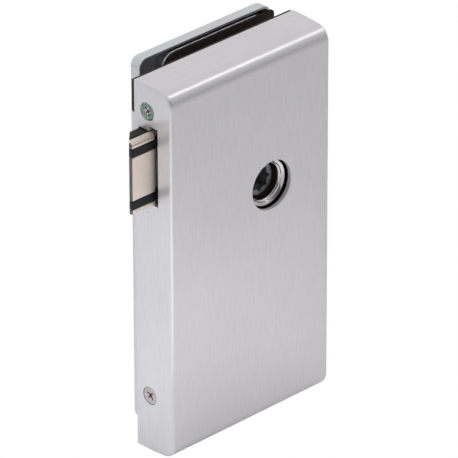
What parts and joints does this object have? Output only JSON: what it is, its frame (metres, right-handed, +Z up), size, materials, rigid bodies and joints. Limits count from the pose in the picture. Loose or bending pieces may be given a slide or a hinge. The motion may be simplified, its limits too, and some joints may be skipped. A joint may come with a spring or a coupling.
{
  "type": "glass door lock",
  "caption": "Glass door lock with a sprung latch, a lever follower and a slot that clamps a glass leaf between rubber pads.",
  "frame": {"origin": "middle of the underside of the whole lock", "axes": "+Z up the door, +X from the latch into the door leaf, +Y from the front cover to the rear cap"},
  "size_m": [0.099, 0.0376, 0.165],
  "materials": {
    "brushed_aluminium": "brushed and clear anodised",
    "sheet_steel": "zinc plated sheet",
    "polished_steel": "polished",
    "latch_metal": "satin",
    "die_cast_zinc": "as cast, satin",
    "black_rubber": "matt sheet rubber",
    "black_plastic": "moulded, matt",
    "acetal": "moulded, slightly glossy",
    "sintered_bronze": "sintered, matt",
    "spring_steel": "drawn wire",
    "green_passivated_zinc": "zinc plated, blue-green passivated",
    "bright_zinc": "bright zinc plated"
  },
  "bodies": {
    "housing": {"base_plate": "sheet_steel", "cap_block_lower": "black_plastic", "cap_block_upper": "black_plastic", "case_lid": "sheet_steel", "clamp_screw_1": "bright_zinc", "clamp_screw_2": "bright_zinc", "clamp_screw_3": "bright_zinc", "clamp_screw_4": "bright_zinc", "clamping_plate": "die_cast_zinc", "cover_screw_lower": "bright_zinc", "cover_screw_upper": "green_passivated_zinc", "end_stop": "bright_zinc", "follower_bush_front": "sintered_bronze", "follower_bush_rear": "sintered_bronze", "front_cover": "brushed_aluminium", "front_gasket": "black_rubber", "glass_sleeve_1": "black_plastic", "glass_sleeve_2": "black_plastic", "glass_sleeve_3": "black_plastic", "glass_sleeve_4": "black_plastic", "handle_ring_front": "polished_steel", "handle_ring_rear": "polished_steel", "latch_rail_lower": "acetal", "latch_rail_upper": "acetal", "latch_spring": "spring_steel", "latch_spring_stop": "sheet_steel", "lid_screw_1": "bright_zinc", "lid_screw_2": "bright_zinc", "lid_screw_3": "bright_zinc", "lid_screw_4": "bright_zinc", "rear_cap": "brushed_aluminium", "rear_gasket": "black_rubber", "rest_stop": "bright_zinc", "return_spring": "spring_steel", "return_spring_stop": "sheet_steel", "tail_guide_pin": "bright_zinc"},
    "follower": {"follower": "sheet_steel"},
    "latch": {"latch_bolt": "latch_metal", "latch_insert": "black_plastic", "latch_tail": "sheet_steel", "tail_rivet_1": "bright_zinc", "tail_rivet_2": "bright_zinc"}
  },
  "joints": [
    {"name": "follower_turn", "type": "hinge", "parent": "housing", "child": "follower", "pos_m": [0.0175, -0.00515, 0.1056], "axis": [0, 1, 0], "range_deg": [0, 38], "stiffness_Nm_per_rad": 0.6, "springref_deg": -22.92, "deforming": ["return_spring"]},
    {"name": "latch_slide", "type": "slide", "parent": "housing", "child": "latch", "axis": [1, 0, 0], "range_m": [0, 0.0112], "deforming": ["latch_spring"]}
  ],
  "couplings": [
    {"joint": "follower_turn", "follows": "latch_slide", "rad_per_m": 59.2}
  ]
}
